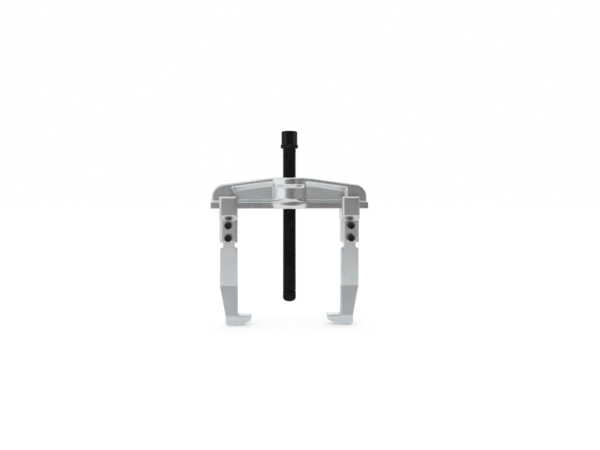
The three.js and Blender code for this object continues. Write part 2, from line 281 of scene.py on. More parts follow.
def new_group(name, inputs, outputs):
    """A shader node group with its sockets; returns the tree and its two end nodes."""
    group = bpy.data.node_groups.new(name, "ShaderNodeTree")
    for socket, kind in inputs:
        group.interface.new_socket(socket, in_out="INPUT", socket_type=kind)
    for socket, kind in outputs:
        group.interface.new_socket(socket, in_out="OUTPUT", socket_type=kind)
    start = group.nodes.new("NodeGroupInput")
    end = group.nodes.new("NodeGroupOutput")
    return group, start, end


def noise_node(tree, vector, scale, detail=3.0, rough=0.55):
    """Noise with scale cells to a metre."""
    node = tree.nodes.new("ShaderNodeTexNoise")
    node.inputs["Scale"].default_value = scale
    node.inputs["Detail"].default_value = detail
    node.inputs["Roughness"].default_value = rough
    link(tree, vector, node.inputs["Vector"])
    return node


def range_node(tree, value, low, high, to_low, to_high):
    """Takes a value from one range to another, and holds it at the ends."""
    node = tree.nodes.new("ShaderNodeMapRange")
    for name, number in zip(("From Min", "From Max", "To Min", "To Max"), (low, high, to_low, to_high)):
        node.inputs[name].default_value = number
    link(tree, value, node.inputs["Value"])
    return node.outputs["Result"]


def mix_color(tree, share, a, b, blend="MIX"):
    """A colour mix; share, a and b are sockets or plain values."""
    node = tree.nodes.new("ShaderNodeMix")
    node.data_type = "RGBA"
    node.blend_type = blend
    for socket, value in ((node.inputs[0], share), (node.inputs[6], a), (node.inputs[7], b)):
        if isinstance(value, bpy.types.NodeSocket):
            link(tree, value, socket)
        else:
            socket.default_value = value
    return node.outputs[2]


def math_node(tree, operation, a, b=0.0):
    """One sum, product and so on; a and b are sockets or plain values."""
    node = tree.nodes.new("ShaderNodeMath")
    node.operation = operation
    for socket, value in zip(node.inputs, (a, b)):
        if isinstance(value, bpy.types.NodeSocket):
            link(tree, value, socket)
        else:
            socket.default_value = value
    return node.outputs[0]


def zinc_group():
    """Zinc plating: cool and warm clouds, a fine crystalline grain, convex edges lightened partly by
    rubbed wear and partly as a painted highlight, a painted near-white highlight where the edge value
    is highest, and painted shade darkening hollows.
    """
    group, start, end = new_group(
        "zinc_plating",
        [("Base", "NodeSocketColor"), ("Cool", "NodeSocketColor"), ("Warm", "NodeSocketColor"),
         ("Clouds", "NodeSocketFloat"), ("Grain", "NodeSocketFloat"), ("Smooth", "NodeSocketFloat"),
         ("Dull", "NodeSocketFloat")],
        [("Color", "NodeSocketColor"), ("Roughness", "NodeSocketFloat"), ("Height", "NodeSocketFloat")],
    )
    place = group.nodes.new("ShaderNodeTexCoord").outputs["Object"]
    clouds = noise_node(group, place, 26.0, 2.0)
    link(group, start.outputs["Clouds"], clouds.inputs["Scale"])
    drift = noise_node(group, place, 70.0, 4.0, 0.6)
    grain = noise_node(group, place, 1800.0, 2.0, 0.5)
    link(group, start.outputs["Grain"], grain.inputs["Scale"])
    cool_share = range_node(group, clouds.outputs["Fac"], 0.42, 0.62, 0.0, 1.0)
    warm_share = range_node(group, drift.outputs["Fac"], 0.5, 0.72, 0.0, 0.8)
    tone = mix_color(group, cool_share, start.outputs["Base"], start.outputs["Cool"])
    tone = mix_color(group, warm_share, tone, start.outputs["Warm"])
    speck = range_node(group, grain.outputs["Fac"], 0.3, 0.7, 0.93, 1.05)
    edge = group.nodes.new("ShaderNodeAttribute")
    edge.attribute_name = "edge"
    # Convex edges are lightened: partly rubbed wear, partly a painted edge highlight.
    lightened = range_node(group, edge.outputs["Fac"], 0.04, 0.3, 0.0, 0.3)
    # Where the edge value nears 1, as on a hook's grip face, the colour goes almost white: a painted
    # highlight.
    painted_highlight = range_node(group, edge.outputs["Fac"], 0.8, 1.0, 0.0, 0.9)
    lightened = math_node(group, "MAXIMUM", lightened, painted_highlight)
    # Hollows, where the edge value is below zero, are darkened: painted shade.
    hollow_shade = range_node(group, edge.outputs["Fac"], -0.35, -0.03, 0.35, 0.0)
    tone = mix_color(group, 1.0, tone, speck, "MULTIPLY")
    tone = mix_color(group, lightened, tone, EDGE_WEAR_AND_HIGHLIGHT_ZINC)
    tone = mix_color(group, hollow_shade, tone, PAINTED_HOLLOW_SHADE)
    link(group, tone, end.inputs["Color"])
    rough_share = range_node(group, drift.outputs["Fac"], 0.3, 0.7, 0.0, 1.0)
    spread = math_node(group, "SUBTRACT", start.outputs["Dull"], start.outputs["Smooth"])
    rough = math_node(group, "MULTIPLY", spread, rough_share)
    rough = math_node(group, "ADD", start.outputs["Smooth"], rough)
    rough = math_node(group, "SUBTRACT", rough, math_node(group, "MULTIPLY", lightened, 0.15))
    link(group, rough, end.inputs["Roughness"])
    height = math_node(group, "MULTIPLY", drift.outputs["Fac"], 1.6)
    height = math_node(group, "ADD", grain.outputs["Fac"], height)
    link(group, height, end.inputs["Height"])
    return group


def scratch_group():
    """Long fine scratches: noise stretched along one direction, kept only at its peaks."""
    group, start, end = new_group(
        "fine_scratches",
        [("Turn", "NodeSocketVector"), ("Amount", "NodeSocketFloat")],
        [("Mask", "NodeSocketFloat")],
    )
    place = group.nodes.new("ShaderNodeTexCoord").outputs["Object"]
    stretch = group.nodes.new("ShaderNodeMapping")
    stretch.inputs["Scale"].default_value = SCRATCH_STRETCH
    link(group, place, stretch.inputs["Vector"])
    link(group, start.outputs["Turn"], stretch.inputs["Rotation"])
    streaks = noise_node(group, stretch.outputs["Vector"], 1.0, 1.0)
    peaks = range_node(group, streaks.outputs["Fac"], 0.56, 0.78, 0.0, 1.0)
    patches = noise_node(group, place, 55.0, 2.0)
    here = range_node(group, patches.outputs["Fac"], 0.45, 0.7, 0.15, 1.0)
    mask = math_node(group, "MULTIPLY", peaks, here)
    mask = math_node(group, "MULTIPLY", mask, start.outputs["Amount"])
    link(group, mask, end.inputs["Mask"])
    return group


def black_group():
    """Blackened steel: a deep black with faint brown and blue patches and worn edges."""
    group, start, end = new_group(
        "black_finish",
        [("Base", "NodeSocketColor"), ("Worn", "NodeSocketColor"), ("Wear", "NodeSocketFloat"),
         ("Grain", "NodeSocketFloat")],
        [("Color", "NodeSocketColor"), ("Roughness", "NodeSocketFloat"), ("Height", "NodeSocketFloat")],
    )
    place = group.nodes.new("ShaderNodeTexCoord").outputs["Object"]
    patches = noise_node(group, place, 90.0, 3.0)
    grain = noise_node(group, place, 2600.0, 2.0)
    link(group, start.outputs["Grain"], grain.inputs["Scale"])
    share = range_node(group, patches.outputs["Fac"], 0.4, 0.68, 0.0, 0.6)
    tone = mix_color(group, share, start.outputs["Base"], BROWN_BLACK)
    edge = group.nodes.new("ShaderNodeAttribute")
    edge.attribute_name = "edge"
    worn = range_node(group, edge.outputs["Fac"], 0.2, 1.0, 0.0, 1.0)
    worn = math_node(group, "MULTIPLY", worn, start.outputs["Wear"])
    broken = range_node(group, grain.outputs["Fac"], 0.35, 0.65, 0.3, 1.0)
    worn = math_node(group, "MULTIPLY", worn, broken)
    tone = mix_color(group, worn, tone, start.outputs["Worn"])
    link(group, tone, end.inputs["Color"])
    rough = range_node(group, patches.outputs["Fac"], 0.3, 0.7, 0.36, 0.56)
    rough = math_node(group, "SUBTRACT", rough, math_node(group, "MULTIPLY", worn, 0.12))
    link(group, rough, end.inputs["Roughness"])
    link(group, grain.outputs["Fac"], end.inputs["Height"])
    return group


ZINC = zinc_group()
SCRATCHES = scratch_group()
BLACK = black_group()


def new_material(name):
    """A material, its node tree and its Principled shader."""
    material = bpy.data.materials.new(name)
    material.use_nodes = True
    tree = material.node_tree
    return material, tree, tree.nodes["Principled BSDF"]


def bump(tree, shader, height, strength):
    """Gives a shader the fine relief of a height between 0 and 1."""
    node = tree.nodes.new("ShaderNodeBump")
    node.inputs["Strength"].default_value = strength
    node.inputs["Distance"].default_value = RELIEF_HEIGHT
    link(tree, height, node.inputs["Height"])
    link(tree, node.outputs["Normal"], shader.inputs["Normal"])


def zone_mask(tree, axis, near, far):
    """1 where the distance along an axis from the model's middle is near (m), 0 where it is far."""
    place = tree.nodes.new("ShaderNodeTexCoord").outputs["Object"]
    parts = tree.nodes.new("ShaderNodeSeparateXYZ")
    link(tree, place, parts.inputs["Vector"])
    return range_node(tree, math_node(tree, "ABSOLUTE", parts.outputs[axis]), near, far, 1.0, 0.0)


def zinc_material(name, base, cool, warm, smooth, dull, clouds=26.0, relief=0.25, turn=(0, 0, 0),
                  zone=None, painted_light_tint=(1, 1, 1), zone_rough=0.0):
    """Zinc plate over steel, with scratches that run along Z unless turned. A zone mask marks where
    the steel under the plate was left rougher, which adds to its roughness, and where its colour is
    multiplied by a tint of painted light: painted shade on a hook's taper, a painted sheen on the beam's
    web."""
    material, tree, shader = new_material(name)
    plating = group_node(tree, ZINC, Base=(*base, 1), Cool=(*cool, 1), Warm=(*warm, 1),
                         Clouds=clouds, Grain=1800.0, Smooth=smooth, Dull=dull)
    scratches = group_node(tree, SCRATCHES, Turn=turn, Amount=0.45)
    color = mix_color(tree, scratches.outputs["Mask"], plating.outputs["Color"], SCRATCH_GREY)
    rough = math_node(tree, "MULTIPLY", scratches.outputs["Mask"], 0.12)
    rough = math_node(tree, "ADD", plating.outputs["Roughness"], rough)
    if zone:
        mask = zone(tree)
        # The zone's colour is multiplied by the tint: painted light, shade on a hook's taper and a sheen on
        # the beam's web.
        color = mix_color(tree, mask, color, mix_color(tree, 1.0, color, (*painted_light_tint, 1), "MULTIPLY"))
        rough = math_node(tree, "ADD", rough, math_node(tree, "MULTIPLY", mask, zone_rough))
    link(tree, color, shader.inputs["Base Color"])
    link(tree, rough, shader.inputs["Roughness"])
    shader.inputs["Metallic"].default_value = 1.0
    height = math_node(tree, "SUBTRACT", plating.outputs["Height"], scratches.outputs["Mask"])
    bump(tree, shader, height, relief)
    return material


def black_material(name, base, worn, wear, specular, metallic=0.0, relief=0.3):
    """Blackened steel; worn is the bare metal that shows where it is rubbed."""
    material, tree, shader = new_material(name)
    finish = group_node(tree, BLACK, Base=(*base, 1), Worn=(*worn, 1), Wear=wear, Grain=2600.0)
    link(tree, finish.outputs["Color"], shader.inputs["Base Color"])
    link(tree, finish.outputs["Roughness"], shader.inputs["Roughness"])
    shader.inputs["Metallic"].default_value = metallic
    shader.inputs["Specular IOR Level"].default_value = specular
    bump(tree, shader, finish.outputs["Height"], relief)
    return material


def ball_material():
    """Polished bearing steel with a faint haze of fine marks."""
    material, tree, shader = new_material("bearing_ball")
    place = tree.nodes.new("ShaderNodeTexCoord").outputs["Object"]
    haze = noise_node(tree, place, 900.0, 4.0)
    link(tree, range_node(tree, haze.outputs["Fac"], 0.3, 0.7, 0.08, 0.2), shader.inputs["Roughness"])
    tone = mix_color(tree, haze.outputs["Fac"], (0.72, 0.73, 0.74, 1.0), (0.82, 0.83, 0.84, 1.0))
    link(tree, tone, shader.inputs["Base Color"])
    shader.inputs["Metallic"].default_value = 1.0
    return material


def pocket_sheen_and_rough_zone(tree):
    """The web and the pockets' sides, which keep the rough surface of the die and are given a slightly
    lighter, bluer tint: a painted sheen.
    """
    deep, shallow = 0.0055, 0.0078
    return zone_mask(tree, "Y", deep, shallow)


def taper_shade_and_rough_zone(tree):
    """The part of a hook that was drawn down thick and narrow, between the leg and the toe, which its tint
    darkens: painted shade for its tilted face.
    """
    taper_top, leg_bottom = 0.0534, 0.0542
    toe_top, taper_foot = 0.0125, 0.0145
    below = zone_mask(tree, "Z", taper_top, leg_bottom)
    toe = zone_mask(tree, "Z", toe_top, taper_foot)
    return math_node(tree, "SUBTRACT", below, toe)


# The web's tint makes it slightly lighter and bluer: a painted sheen.
FORGED_ZINC = zinc_material(
    "forged_zinc", base=(0.66, 0.66, 0.65), cool=(0.6, 0.64, 0.66), warm=(0.68, 0.66, 0.61),
    smooth=0.2, dull=0.28, relief=0.35, turn=(0, math.pi / 2, 0),
    zone=pocket_sheen_and_rough_zone, painted_light_tint=(1.0, 1.04, 1.05), zone_rough=0.18,
)
CHEEK_ZINC = zinc_material(
    "cheek_zinc", base=(0.6, 0.585, 0.59), cool=(0.55, 0.565, 0.58), warm=(0.61, 0.585, 0.565),
    smooth=0.29, dull=0.37, clouds=60.0,
)
# The taper's tint darkens it: painted shade, as its face tilts away from the light.
HOOK_ZINC = zinc_material(
    "hook_zinc", base=(0.69, 0.715, 0.725), cool=(0.63, 0.675, 0.7), warm=(0.7, 0.7, 0.69),
    smooth=0.34, dull=0.42, clouds=40.0,
    zone=taper_shade_and_rough_zone, painted_light_tint=(0.78, 0.785, 0.795), zone_rough=0.06,
)
SPINDLE_BLACK = black_material(
    "spindle_black", base=(0.004, 0.004, 0.0043), worn=(0.07, 0.068, 0.066), wear=0.4, specular=0.06,
)
FASTENER_BLACK = black_material(
    "fastener_black", base=(0.01, 0.0098, 0.0095), worn=(0.12, 0.115, 0.11), wear=0.5, specular=0.35,
)
SPRING_BLACK = black_material(
    "spring_black", base=(0.03, 0.03, 0.032), worn=(0.22, 0.22, 0.22), wear=0.6,
    metallic=0.6, specular=0.35,
)
BALL_STEEL = ball_material()


# --- crossbeam --------------------------------------------------------------------------------

BEAM_LOW, BEAM_HIGH = box_mm("crossbeam")
BEAM_BOTTOM, BEAM_TOP = BEAM_LOW[2], BEAM_HIGH[2]
BOSS_RADIUS = BEAM_HIGH[1]
FLANGE_HALF, FLANGE_HEIGHT = 12.0, 9.4
RIB_HALF, WEB_HALF = 7.0, 3.5
HUMP_TOP, HUMP_RADIUS = 191.8, 18.0
HUMP_END = BEAM_HIGH[0] - 1.2
TOP_LEVEL_END = 25.0
BORE_RADIUS, BORE_CHAMFER = 9.3, 1.0


def beam_top(x):
    """The beam's top edge: level over the boss, then a straight fall to the hump. The least of the
    two, and the greatest of that and the hump's top, are taken with soft corners."""
    upper_bend, lower_bend = 1.2, 0.8
    slope = (BEAM_TOP - HUMP_TOP) / (HUMP_END - HUMP_RADIUS - TOP_LEVEL_END)
    falling = BEAM_TOP - slope * (x - TOP_LEVEL_END)
    return -soft_least(-soft_least(falling, BEAM_TOP, upper_bend), -HUMP_TOP, lower_bend)


def plate_outline(x, z):
    """Signed distance to the rib and hump's outline: the top edge, then a quarter circle."""
    centre_x, centre_z = HUMP_END - HUMP_RADIUS, HUMP_TOP - HUMP_RADIUS
    corner = np.hypot(np.maximum(x - centre_x, 0), np.maximum(z - centre_z, 0)) - HUMP_RADIUS
    straight = np.maximum(z - beam_top(x), x - HUMP_END)
    return np.where((x > centre_x) & (z > centre_z), corner, straight)


def plate_half(x, z):
    """Half thickness of the plate: the rib's, less the pocket's depth where all four of the
    pocket's drafted sides allow it. The least of the four is taken, with soft corners."""
    inner_end, outer_end, bottom, rib_height = 20.0, 79.0, BEAM_BOTTOM + 10.0, 5.3
    top_draft, bottom_draft, end_draft = 6.6, 3.6, 3.2
    sides = [
        (beam_top(x) - rib_height - z) / top_draft,
        (z - bottom) / bottom_draft,
        (x - inner_end) / end_draft,
        (outer_end - x) / end_draft,
    ]
    sharpness, lift, straight = 7.0, 0.06, 0.55
    least = -np.log(sum(np.exp(-sharpness * np.clip(s, -1, 2.5)) for s in sides)) / sharpness
    share = np.clip(least + lift, 0, 1)
    return RIB_HALF - (RIB_HALF - WEB_HALF) * (straight * share + (1 - straight) * ease(share))


def boss_field(x, y, z):
    """The boss: a ring at each end, with slopes down to a slimmer waist, and chamfered rims."""
    radius = np.hypot(x, y)
    slope_height, waist_depth, steepness = 4.6, 3.0, 0.8
    upper_foot = BEAM_TOP - 14.1
    lower_foot = BEAM_BOTTOM + FLANGE_HEIGHT + 4.4
    top_chamfer, bottom_chamfer, rim_edge = 2.0, 3.4, 0.6
    upper = soft_ramp((z - upper_foot) / slope_height)
    lower = soft_ramp((lower_foot - z) / slope_height)
    body = (radius - (BOSS_RADIUS - waist_depth * (1 - upper) * (1 - lower))) * steepness
    top_rim = (radius - BOSS_RADIUS + z - BEAM_TOP + top_chamfer) / math.sqrt(2)
    bottom_rim = (radius - BOSS_RADIUS + BEAM_BOTTOM - z + bottom_chamfer) / math.sqrt(2)
    return trimmed(trimmed(body, top_rim, rim_edge), bottom_rim, rim_edge)


def beam_field(x, y, z):
    """The forging: a plate with pockets and a flange, joined to the boss with wide fillets, cut
    level at top and bottom, with the raised line where the dies met, and bored for the spindle."""
    side, deep = np.abs(x), np.abs(y)
    plate_edge, plate_steepness, web_fillet = 2.8, 0.85, 2.6
    flange_corner, flange_edge, end_edge = 1.6, 1.1, 0.7
    line_height, line_width, line_start, line_rise = 0.22, 0.8, 19.0, 3.0
    thickness = (deep - plate_half(side, z)) * plate_steepness
    plate = trimmed(thickness, plate_outline(side, z), plate_edge)
    plan = trimmed(deep - FLANGE_HALF, side - BEAM_HIGH[0], flange_corner)
    flange = trimmed(plan, z - (BEAM_BOTTOM + FLANGE_HEIGHT), flange_edge)
    upper_fillet, lower_fillet, fillet_top, fillet_change = 6.5, 9.0, BEAM_BOTTOM + 14.0, 5.0
    low = ease((fillet_top - z) / fillet_change)
    boss_fillet = upper_fillet + (lower_fillet - upper_fillet) * low
    body = joined(joined(plate, flange, web_fillet), boss_field(x, y, z), boss_fillet)
    die_line = line_height * np.exp(-((y / line_width) ** 2)) * ease((side - line_start) / line_rise)
    body = trimmed(body, z - beam_top(side) - die_line, end_edge)
    body = trimmed(body, BEAM_BOTTOM - z, end_edge)
    mouth = np.minimum(BEAM_TOP - z, z - BEAM_BOTTOM)
    bore = BORE_RADIUS + np.maximum(BORE_CHAMFER - mouth, 0) - np.hypot(x, y)
    return np.maximum(body, bore)


def build_crossbeam():
    """The forging's field as one closed surface."""
    pitch = 0.76
    points, quads, edge = field_surface(beam_field, BEAM_LOW, BEAM_HIGH, pitch)
    make_piece("crossbeam_forging", points, quads, "crossbeam", "crossbeam",
               FORGED_ZINC, edge)


# --- spindle and thrust tip -------------------------------------------------------------------

SPINDLE_LOW, SPINDLE_HIGH = box_mm("spindle")
SPINDLE_RADIUS, THREAD_PITCH, THREAD_DEPTH = 9.1, 1.5, 0.62
COLLAR_BOTTOM, COLLAR_TOP, COLLAR_RADIUS = 240.3, 246.0, SPINDLE_HIGH[0]
HEX_FLATS = 19.0
GROOVE_LOW, GROOVE_HIGH = 51.7, 53.3  # of the snap ring


def thread_radius(height, angles, low, high):
    """A right-hand thread: the crest climbs one pitch a turn. It runs out at both ends. Returns
    the radius and how far each point is rubbed, most at the crest."""
    crest_share, flank_share, crest_wear = 0.14, 0.62, 0.45
    lead_in, lead_depth, run_out = 1.2, 0.75, 2.5
    phase = np.abs(np.mod(height / THREAD_PITCH - angles / (2 * math.pi), 1) - 0.5) * 2
    depth = THREAD_DEPTH * np.clip((phase - crest_share) / flank_share, 0, 1)
    start = ease((height - low) / lead_in)
    finish = 1 - ease((height - (high - run_out)) / run_out)
    radius = SPINDLE_RADIUS - lead_depth * (1 - start) - depth * start * finish
    return radius, crest_wear * (1 - depth / THREAD_DEPTH)


def build_spindle():
    """One surface from the blind bore in the lower end, out over the thread and collar, to the
    hexagon and the centre mark in its top."""
    angles = hexagon_angles()
    bottom, top = SPINDLE_LOW[2], SPINDLE_HIGH[2]
    bore, bore_top, groove, edge = 4.6, bottom + 22, 5.3, 0.4
    inside = profile_rows([
        (0, bore_top), (bore - edge, bore_top), (bore, bore_top - edge), (bore, GROOVE_HIGH),
        (groove, GROOVE_HIGH), (groove, GROOVE_LOW), (bore, GROOVE_LOW), (bore, bottom + edge),
        (bore + edge, bottom), (SPINDLE_RADIUS - 1.3, bottom),
    ], angles)
    thread_low, thread_high = bottom + 0.5, COLLAR_BOTTOM - 2.2
    rows_per_turn = 10
    height = np.arange(thread_low, thread_high, THREAD_PITCH / rows_per_turn)[:, None]
    thread, crest = thread_radius(height, angles, thread_low, thread_high)
    collar = profile_rows([
        (SPINDLE_RADIUS, COLLAR_BOTTOM - 2.0), (SPINDLE_RADIUS - 0.5, COLLAR_BOTTOM - 1.5),
        (SPINDLE_RADIUS - 0.5, COLLAR_BOTTOM - 0.4), (SPINDLE_RADIUS, COLLAR_BOTTOM),
        (COLLAR_RADIUS - 1.3, COLLAR_BOTTOM), (COLLAR_RADIUS - 0.9, COLLAR_BOTTOM + 0.2),
        (COLLAR_RADIUS - 0.15, COLLAR_BOTTOM + 1.0), (COLLAR_RADIUS, COLLAR_BOTTOM + 1.4),
        (COLLAR_RADIUS, COLLAR_TOP - 1.4), (COLLAR_RADIUS - 0.15, COLLAR_TOP - 1.0),
        (COLLAR_RADIUS - 0.9, COLLAR_TOP - 0.2), (COLLAR_RADIUS - 1.3, COLLAR_TOP),
    ], angles)
    hexagon = hexagon_radius(angles, HEX_FLATS)
    hex_height = np.array([COLLAR_TOP, COLLAR_TOP + 0.3, *np.linspace(COLLAR_TOP + 1, top - 1.7, 12),
                           *np.linspace(top - 1.5, top, 7)])[:, None]
    cone = HEX_FLATS / 2 + 0.15 + (top - hex_height) * 1.5
    hex_rows = np.minimum(hexagon, cone)
    crown = profile_rows([
        (HEX_FLATS / 2 - 0.2, top), (3.2, top), (2.9, top - 0.2), (1.3, top - 2.2), (0, top - 3.4),
    ], angles)
    radii = [inside[0], thread, collar[0], hex_rows, crown[0]]
    ones = np.ones(len(angles))
    heights = [inside[1], height * ones, collar[1], hex_height * ones, crown[1]]
    corners = np.where(hexagon > HEX_FLATS / 2 * 1.12, 1.0, 0.0)
    lightened = [np.zeros_like(inside[0]), crest, np.full_like(collar[0], 0.3),
              corners * np.ones_like(hex_rows), np.zeros_like(crown[0])]
    points, quads = turned_surface(np.concatenate(radii), np.concatenate(heights), angles)
    make_piece("pressure_spindle", points, quads, "spindle", "spindle", SPINDLE_BLACK,
               np.concatenate(lightened).ravel())


def build_thrust_tip():
    """Turned on the spindle's axis: a blunt rounded cone, a collar with a shallow ring cut in it,
    and a stem with a groove for the snap ring."""
    low, high = box_mm("thrust_tip")
    angles = np.linspace(0, 2 * math.pi, 64, endpoint=False)
    dome, rim, ring, stem, waist = 6.0, 9.0, 8.75, 4.2, 3.3
    sweep = np.linspace(0, 1, 16)
    radius = rim * np.sin(sweep * math.pi / 2) ** 0.92
    height = low[2] + dome * (1 - np.sqrt(1 - (radius / rim) ** 2 * 0.9999)) * (0.55 + 0.45 * sweep)
    shoulder = low[2] + 14.0
    profile = [
        *zip(radius, height),
        (rim, shoulder - 4.2), (ring, shoulder - 3.9), (ring, shoulder - 3.1), (rim, shoulder - 2.8),
        (rim, shoulder - 0.5), (rim - 0.5, shoulder), (stem, shoulder), (stem, GROOVE_LOW),
        (waist, GROOVE_LOW), (waist, GROOVE_HIGH), (stem, GROOVE_HIGH), (stem, high[2] - 0.4),
        (stem - 0.4, high[2]), (0, high[2]),
    ]
    radii, heights = profile_rows(profile, angles)
    points, quads = turned_surface(radii, heights, angles)
    make_piece("thrust_tip_cap", points, quads, "thrust_tip", "thrust_tip", SPINDLE_BLACK)


# --- arms -------------------------------------------------------------------------------------

ARM_CENTRE = (box_mm("right_front_cheek")[0][0] + box_mm("right_front_cheek")[1][0]) / 2
SCREW_HEIGHTS = {"upper": 135.7, "lower": 119.1}
SCREW_RADIUS, GAP = 3.0, 0.3
TANG_HALF, TANG_THICK, TANG_TOP = 8.0, 6.0, box_mm("right_hook")[1][2]
CHEEK_LOW, CHEEK_HIGH = box_mm("right_rear_cheek")
CLAW_OUTER, BLOCK_OUTER = CHEEK_HIGH[1], 13.5


def cheek_outlines():
    """The claw and the clamping block seen along the beam, as (depth, height) corners."""
    top, bottom = CHEEK_HIGH[2], CHEEK_LOW[2]
    step_top, step_bottom = 149.3, 143.4
    seat, lip = BEAM_BOTTOM - 0.4, BEAM_BOTTOM + FLANGE_HEIGHT + 0.4
    slot = FLANGE_HALF + 0.4
    chamfer, foot_chamfer, overlap = 2.4, 2.0, 3.0
    throat, throat_chamfer = 7.7, 1.6
    claw = [
        (GAP / 2, step_bottom), (BLOCK_OUTER, step_bottom), (CLAW_OUTER, step_top),
        (CLAW_OUTER, top - chamfer), (CLAW_OUTER - chamfer, top), (throat, top),
        (throat, lip + throat_chamfer), (throat + throat_chamfer, lip),
        (slot, lip), (slot, seat), (GAP / 2, seat),
    ]
    block = [
        (GAP / 2, bottom), (BLOCK_OUTER - foot_chamfer, bottom), (BLOCK_OUTER, bottom + foot_chamfer),
        (BLOCK_OUTER, step_bottom + overlap), (GAP / 2, step_bottom + overlap),
    ]
    return np.array(claw), np.array(block)


def cheek_field(rear):
    """A cheek as a field of (x along the beam, depth from the middle, height), and half its width.
    Both blocks have chamfered upright corners. The channel holds the hook's tang, and a rear cheek
    has a shallow round seat for each washer."""
    claw, block = cheek_outlines()
    half = (CHEEK_HIGH[0] - CHEEK_LOW[0]) / 2
    claw_chamfer, block_chamfer, edge, fillet = 2.5, 3.5, 0.6, 0.8
    seat_radius, seat_depth = 6.6, 0.8

    def field(x, y, z):
        side = np.abs(x)
        claw_corner = (side + y - half - CLAW_OUTER + claw_chamfer) / math.sqrt(2)
        block_corner = (side + y - half - BLOCK_OUTER + block_chamfer) / math.sqrt(2)
        upper = trimmed(outline_distance(y, z, claw), side - half, edge)
        lower = trimmed(outline_distance(y, z, block), side - half, edge)
        body = joined(trimmed(upper, claw_corner, edge), trimmed(lower, block_corner, edge), fillet)
        channel = np.maximum(side - TANG_HALF - GAP, y - TANG_THICK - GAP)
        body = np.maximum(body, -np.maximum(channel, z - TANG_TOP - GAP))
        for height in SCREW_HEIGHTS.values():
            around = np.hypot(x, z - height)
            body = np.maximum(body, SCREW_RADIUS + GAP - around)
            if rear:
                seat = np.maximum(around - seat_radius, BLOCK_OUTER - seat_depth - y)
                body = np.maximum(body, -seat)
        return body

    return field, half


def build_cheeks():
    """Two front and two rear cheeks; the front ones are the rear shape turned to face -Y."""
    pitch = 0.55
    for rear in (True, False):
        field, half = cheek_field(rear)
        low, high = (-half, GAP / 2, CHEEK_LOW[2]), (half, CLAW_OUTER, CHEEK_HIGH[2])
        points, quads, edge = field_surface(field, low, high, pitch)
        if not rear:
            points = points * (1, -1, 1)
            quads = quads[:, ::-1]
        for arm, side in (("left", -1), ("right", 1)):
            node = f"{arm}_rear_cheek" if rear else f"{arm}_front_cheek"
            placed = points + (side * ARM_CENTRE, 0, 0)
            make_piece(f"{node}_clamp", placed, quads, f"{arm}_arm", node, CHEEK_ZINC, edge)


def hook_outline():
    """The right hook seen from the front, as (x, z) corners: tang, shoulder, leg, taper, heel,
    a sole that curves up to the toe's tip, the grip face and the root. Returns the heights of the
    taper's top and the grip face too."""
    low, high = box_mm("right_hook")
    inner, outer, toe = 70.5, high[0], low[0]
    shoulder, taper_top, grip = 104.9, 53.6, 13.9
    outer_grip, heel, root = 86.7, 6.0, 1.6
    tang = (ARM_CENTRE - TANG_HALF, ARM_CENTRE + TANG_HALF)
    tip_bottom, sole, chamfer = grip - 7.0, 73.0, 0.9
    rise = np.linspace(0, 1, 14)
    underside = np.stack([sole + (toe + 1.2 - sole) * rise, tip_bottom * rise ** 1.6], axis=1)
    return np.concatenate([
        [(tang[0], TANG_TOP)],
        arc_points((tang[0] - root, shoulder + root), root, 0, -90, 6),
        arc_points((inner + root, shoulder - root), root, 90, 180, 6),
        arc_points((inner - root, grip + root), root, 0, -90, 7),
        [(toe + chamfer, grip), (toe, grip - chamfer), (toe, tip_bottom + 1.3)],
        underside[::-1],
        arc_points((outer_grip - heel, heel), heel, -90, 0, 12),
        [(outer_grip, grip), (outer, taper_top)],
        arc_points((outer - root, shoulder - root), root, 0, 90, 6),
        arc_points((tang[1] + root, shoulder + root), root, -90, -180, 6),
        [(tang[1], TANG_TOP)],
    ]), taper_top, grip


def build_hooks():
    """Flat bar cut to the outline, swelling in thickness down the taper, with its edges eased."""
    outline, taper_top, grip = hook_outline()
    foot, eased, pitch = box_mm("right_hook")[1][1], 0.9, 0.6

    def field(x, y, z):
        swell = np.clip((taper_top - z) / (taper_top - grip), 0, 1)
        thick = TANG_THICK + (foot - TANG_THICK) * swell
        body = trimmed(outline_distance(x, z, outline), np.abs(y) - thick, eased)
        for height in SCREW_HEIGHTS.values():
            body = np.maximum(body, SCREW_RADIUS + GAP - np.hypot(x - ARM_CENTRE, z - height))
        return body

    points, quads, edge = field_surface(field, *box_mm("right_hook"), pitch)
    # The grip face on the toe's top gets the full edge value, which the zinc finish paints almost white: a
    # painted highlight. Other points are held at 0.3 or below, which limits how far their edges are
    # lightened.
    grip_end, flatness = 68.0, 0.05
    on_grip = (np.abs(points[:, 2] - grip) < flatness) & (points[:, 0] < grip_end)
    edge = np.where(on_grip, 1.0, np.minimum(edge, 0.3))
    make_piece("right_hook_leg", points, quads, "right_arm", "right_hook",
               HOOK_ZINC, edge)
    make_piece("left_hook_leg", points * (-1, 1, 1), quads[:, ::-1], "left_arm", "left_hook",
               HOOK_ZINC, edge)


